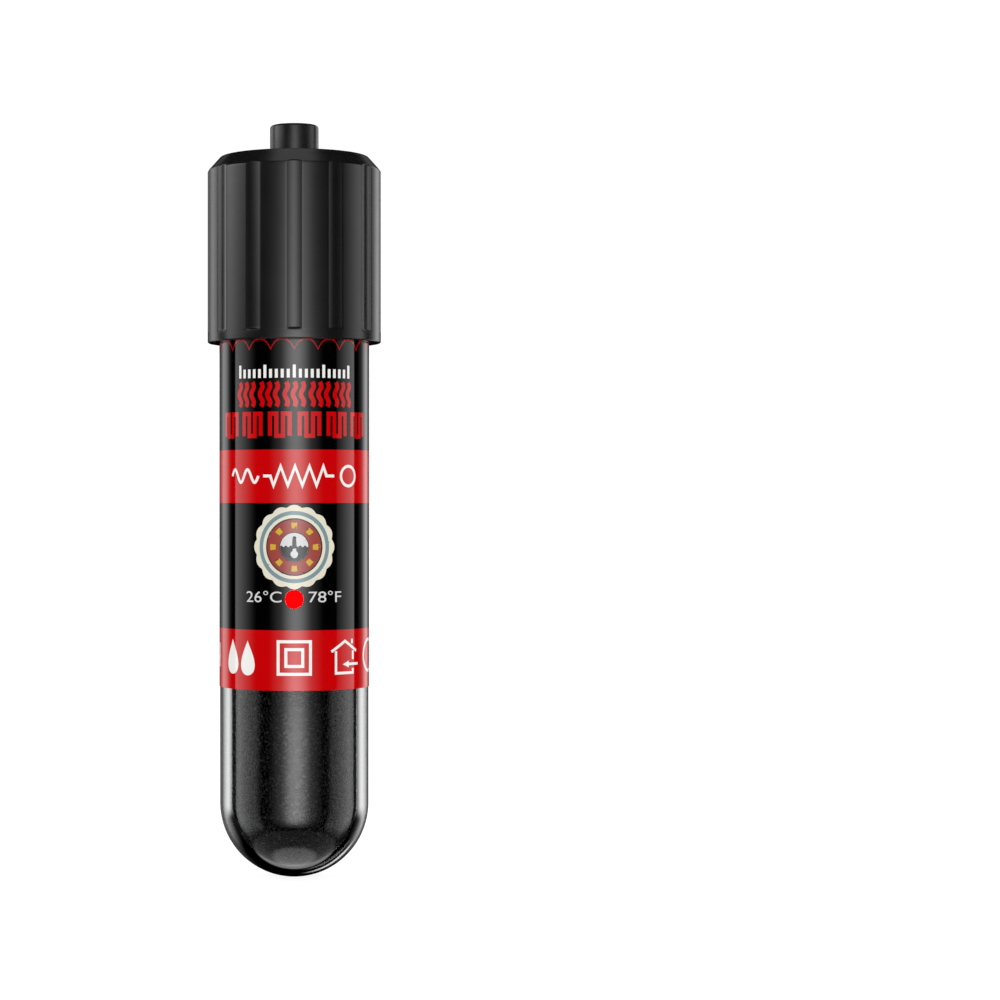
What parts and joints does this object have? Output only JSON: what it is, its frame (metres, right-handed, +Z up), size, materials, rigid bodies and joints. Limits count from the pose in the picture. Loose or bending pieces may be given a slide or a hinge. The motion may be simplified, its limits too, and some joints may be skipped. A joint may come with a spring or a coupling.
{
  "type": "submersible aquarium heater",
  "caption": "Slim submersible aquarium heater: a round-bottomed glass tube of sand with a heating core and thermostat, a printed sleeve, and a fluted screw cap with a cord gland.",
  "frame": {"origin": "lowest point of the round glass bottom, on the tube's axis", "axes": "+Z up along the tube's axis towards the cord gland, -Y the side with the indicator"},
  "size_m": [0.0234, 0.0234, 0.1009],
  "materials": {
    "cap_plastic": "satin moulded black plastic",
    "gland_rubber": "smooth black rubber",
    "tube_glass": "clear polished glass",
    "sleeve_print": "glossy film printed black, red and white",
    "window_red": "glossy red window, lit from behind",
    "heater_sand": "fine black sand",
    "head_plastic": "moulded black plastic",
    "seal_silicone": "red silicone rubber",
    "potting_epoxy": "cast black epoxy",
    "board_laminate": "green laminate",
    "white_ceramic": "unglazed white ceramic",
    "mica_sheet": "pressed mica",
    "contact_brass": "bright brass",
    "plated_steel": "plated steel",
    "contact_silver": "silver alloy",
    "resistance_wire": "oxidised resistance wire",
    "ferrite": "sintered ferrite",
    "lamp_red": "moulded red epoxy lamp",
    "lead_sleeve": "woven glass sleeving"
  },
  "bodies": {
    "tube": {"led_shroud": "gland_rubber", "glass_tube": "tube_glass", "printed_sleeve": "sleeve_print", "indicator_window": "window_red", "sand_fill": "heater_sand", "tube_head": "head_plastic", "lower_o_ring": "seal_silicone", "upper_o_ring": "seal_silicone", "cap_gasket": "seal_silicone", "potting_plug": "potting_epoxy", "blocking_diode": "potting_epoxy", "control_board": "board_laminate", "ceramic_core": "white_ceramic", "thermostat_base": "white_ceramic", "series_resistor": "white_ceramic", "mica_disc": "mica_sheet", "left_cord_terminal": "contact_brass", "right_cord_terminal": "contact_brass", "contact_arm": "contact_brass", "calibration_screw": "contact_brass", "thermal_fuse": "plated_steel", "fixed_contact": "contact_silver", "heating_coil": "resistance_wire", "snap_magnet": "ferrite", "indicator_led": "lamp_red", "left_heater_lead": "lead_sleeve", "right_heater_lead": "lead_sleeve"},
    "cap": {"screw_cap": "cap_plastic"},
    "gland": {"cord_gland": "gland_rubber", "gland_washer": "plated_steel"},
    "blade": {"bimetal_blade": "plated_steel", "moving_contact": "contact_silver"}
  },
  "joints": [
    {"name": "cap_rise", "type": "slide", "parent": "tube", "child": "gland", "axis": [0, 0, 1], "range_m": [0, 0.004]},
    {"name": "cap_turn", "type": "hinge", "parent": "gland", "child": "cap", "pos_m": [0, 0, 0.0716], "axis": [0, 0, 1], "range_deg": [0, 720]},
    {"name": "thermostat_blade", "type": "hinge", "parent": "tube", "child": "blade", "pos_m": [0, -0.003, 0.0469], "axis": [1, 0, 0], "range_deg": [0, 4], "stiffness_Nm_per_rad": 0.05}
  ],
  "couplings": [
    {"joint": "cap_turn", "follows": "cap_rise", "rad_per_m": 3141.6}
  ]
}
